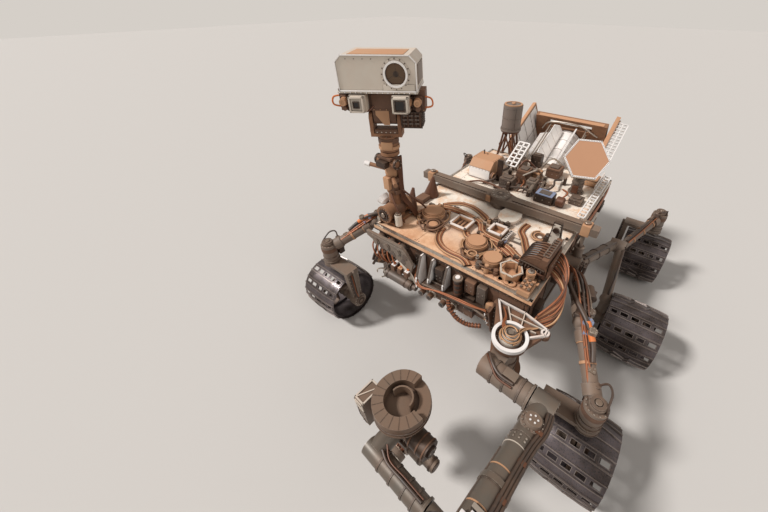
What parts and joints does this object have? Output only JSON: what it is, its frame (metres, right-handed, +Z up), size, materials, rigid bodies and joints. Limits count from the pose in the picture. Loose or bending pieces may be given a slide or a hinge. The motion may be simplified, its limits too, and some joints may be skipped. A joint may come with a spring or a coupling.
{
  "type": "planetary rover",
  "caption": "Dust-covered planetary rover with rocker-bogie wheels, camera mast, jointed tool arm, flat deck, aiming dish and a finned rear power source.",
  "frame": {"origin": "middle of the rover's outline as parked, on the ground", "axes": "+X forward, +Y port, +Z up"},
  "size_m": [3.8266, 2.8, 2.199],
  "materials": {
    "wheel_skin": "anodised, dusty",
    "grey_paint": "matte, dusty",
    "white_paint": "matte, dusty",
    "dark_metal": "matte",
    "cable_wrap": "wrapped cable, dusty",
    "dusty_panel": "matte, covered in tan dust"
  },
  "bodies": {
    "rover": {"rocker_port": "grey_paint", "rocker_starboard": "grey_paint", "bogie_port": "grey_paint", "bogie_starboard": "grey_paint", "chassis": "dusty_panel", "deck": "dusty_panel", "differential_bar": "grey_paint", "mast": "grey_paint", "power_source": "white_paint", "power_shields": "dusty_panel", "power_cradle": "dusty_panel", "dish_post": "white_paint", "radio_can": "grey_paint", "radio_truss": "white_paint", "avionics_box": "white_paint", "inlet_outer": "dusty_panel", "inlet_middle": "dusty_panel", "inlet_inner": "dusty_panel", "deck_bins": "grey_paint", "rear_boxes": "dusty_panel", "oval_cover": "dusty_panel", "knob_post": "grey_paint", "stow_bracket": "grey_paint", "cable_duct": "dark_metal", "deck_harness": "cable_wrap", "camera_bar": "grey_paint", "knob_bracket": "grey_paint", "front_plates": "white_paint", "front_cylinder": "grey_paint", "bar_rack": "grey_paint", "arm_mount": "grey_paint"},
    "wheel_front_port": {"wheel_front_port": "wheel_skin"},
    "knuckle_front_port": {"knuckle_front_port": "grey_paint"},
    "wheel_front_starboard": {"wheel_front_starboard": "wheel_skin"},
    "knuckle_front_starboard": {"knuckle_front_starboard": "grey_paint"},
    "wheel_middle_port": {"wheel_middle_port": "wheel_skin"},
    "wheel_middle_starboard": {"wheel_middle_starboard": "wheel_skin"},
    "wheel_rear_port": {"wheel_rear_port": "wheel_skin"},
    "knuckle_rear_port": {"knuckle_rear_port": "grey_paint"},
    "wheel_rear_starboard": {"wheel_rear_starboard": "wheel_skin"},
    "knuckle_rear_starboard": {"knuckle_rear_starboard": "grey_paint"},
    "mast_pan": {"mast_pan": "grey_paint"},
    "mast_head": {"mast_head": "grey_paint", "mast_cameras": "dark_metal", "laser_box": "white_paint"},
    "dish_yoke": {"dish_yoke": "white_paint"},
    "dish": {"dish": "white_paint"},
    "inlet_outer_cover": {"inlet_outer_cover": "dusty_panel"},
    "inlet_middle_cover": {"inlet_middle_cover": "dusty_panel"},
    "inlet_inner_cover": {"inlet_inner_cover": "dusty_panel"},
    "arm_turntable": {"arm_turntable": "grey_paint"},
    "upper_arm": {"upper_arm": "grey_paint"},
    "forearm": {"forearm": "grey_paint"},
    "wrist": {"wrist": "grey_paint"},
    "turret": {"turret_hub": "grey_paint", "drill": "grey_paint", "sample_ring": "grey_paint", "spectrometer": "grey_paint", "turret_camera": "grey_paint", "brush": "white_paint"}
  },
  "joints": [
    {"name": "steer_front_port", "type": "hinge", "parent": "rover", "child": "knuckle_front_port", "pos_m": [0.72939, 1.1, 0.606], "axis": [0, 0, 1], "range_deg": [-90, 90]},
    {"name": "spin_front_port", "type": "hinge", "parent": "knuckle_front_port", "child": "wheel_front_port", "pos_m": [0.72939, 1.1, 0.25], "axis": [0, 1, 0], "continuous": true},
    {"name": "steer_front_starboard", "type": "hinge", "parent": "rover", "child": "knuckle_front_starboard", "pos_m": [0.72939, -1.1, 0.606], "axis": [0, 0, 1], "range_deg": [-90, 90]},
    {"name": "spin_front_starboard", "type": "hinge", "parent": "knuckle_front_starboard", "child": "wheel_front_starboard", "pos_m": [0.72939, -1.1, 0.25], "axis": [0, 1, 0], "continuous": true},
    {"name": "spin_middle_port", "type": "hinge", "parent": "rover", "child": "wheel_middle_port", "pos_m": [-0.37061, 1.2, 0.25], "axis": [0, 1, 0], "continuous": true},
    {"name": "spin_middle_starboard", "type": "hinge", "parent": "rover", "child": "wheel_middle_starboard", "pos_m": [-0.37061, -1.2, 0.25], "axis": [0, 1, 0], "continuous": true},
    {"name": "steer_rear_port", "type": "hinge", "parent": "rover", "child": "knuckle_rear_port", "pos_m": [-1.47061, 1.1, 0.606], "axis": [0, 0, 1], "range_deg": [-90, 90]},
    {"name": "spin_rear_port", "type": "hinge", "parent": "knuckle_rear_port", "child": "wheel_rear_port", "pos_m": [-1.47061, 1.1, 0.25], "axis": [0, 1, 0], "continuous": true},
    {"name": "steer_rear_starboard", "type": "hinge", "parent": "rover", "child": "knuckle_rear_starboard", "pos_m": [-1.47061, -1.1, 0.606], "axis": [0, 0, 1], "range_deg": [-90, 90]},
    {"name": "spin_rear_starboard", "type": "hinge", "parent": "knuckle_rear_starboard", "child": "wheel_rear_starboard", "pos_m": [-1.47061, -1.1, 0.25], "axis": [0, 1, 0], "continuous": true},
    {"name": "mast_turn", "type": "hinge", "parent": "rover", "child": "mast_pan", "pos_m": [0.42939, -0.54, 1.64], "axis": [0, 0, 1], "range_deg": [-180, 140]},
    {"name": "mast_tilt", "type": "hinge", "parent": "mast_pan", "child": "mast_head", "pos_m": [0.42939, -0.54, 1.85], "axis": [0.5446, -0.8387, 0], "range_deg": [-70, 80]},
    {"name": "dish_turn", "type": "hinge", "parent": "rover", "child": "dish_yoke", "pos_m": [-0.77061, 0.42, 1.22], "axis": [0, 0, 1], "range_deg": [-120, 120]},
    {"name": "dish_tilt", "type": "hinge", "parent": "dish_yoke", "child": "dish", "pos_m": [-0.77061, 0.42, 1.372], "axis": [0.342, -0.9397, 0], "range_deg": [-36, 48]},
    {"name": "inlet_outer_lid", "type": "hinge", "parent": "rover", "child": "inlet_outer_cover", "pos_m": [0.15739, -0.33, 1.1575], "axis": [0, -1, 0], "range_deg": [0, 110]},
    {"name": "inlet_middle_lid", "type": "hinge", "parent": "rover", "child": "inlet_middle_cover", "pos_m": [0.27939, 0.12, 1.1515], "axis": [0, -1, 0], "range_deg": [0, 110]},
    {"name": "inlet_inner_lid", "type": "hinge", "parent": "rover", "child": "inlet_inner_cover", "pos_m": [0.36839, 0.29, 1.1555], "axis": [0, -1, 0], "range_deg": [0, 110]},
    {"name": "arm_turn", "type": "hinge", "parent": "rover", "child": "arm_turntable", "pos_m": [0.77939, 0.6, 0.94], "axis": [0, 0, 1], "range_deg": [-40, 40]},
    {"name": "arm_raise", "type": "hinge", "parent": "arm_turntable", "child": "upper_arm", "pos_m": [0.96934, 0.87943, 0.9], "axis": [-0.0698, -0.9976, 0], "range_deg": [-15, 60]},
    {"name": "elbow", "type": "hinge", "parent": "upper_arm", "child": "forearm", "pos_m": [1.85155, 0.81774, 1.15359], "axis": [-0.0698, -0.9976, 0], "range_deg": [0, 130]},
    {"name": "wrist", "type": "hinge", "parent": "forearm", "child": "wrist", "pos_m": [1.55574, 0.68806, 0.63756], "axis": [0.0698, 0.9976, 0], "range_deg": [-60, 60]},
    {"name": "turret", "type": "hinge", "parent": "wrist", "child": "turret", "pos_m": [1.35027, 0.30145, 0.63756], "axis": [-0.9976, 0.0698, 0], "range_deg": [-170, 170]}
  ]
}
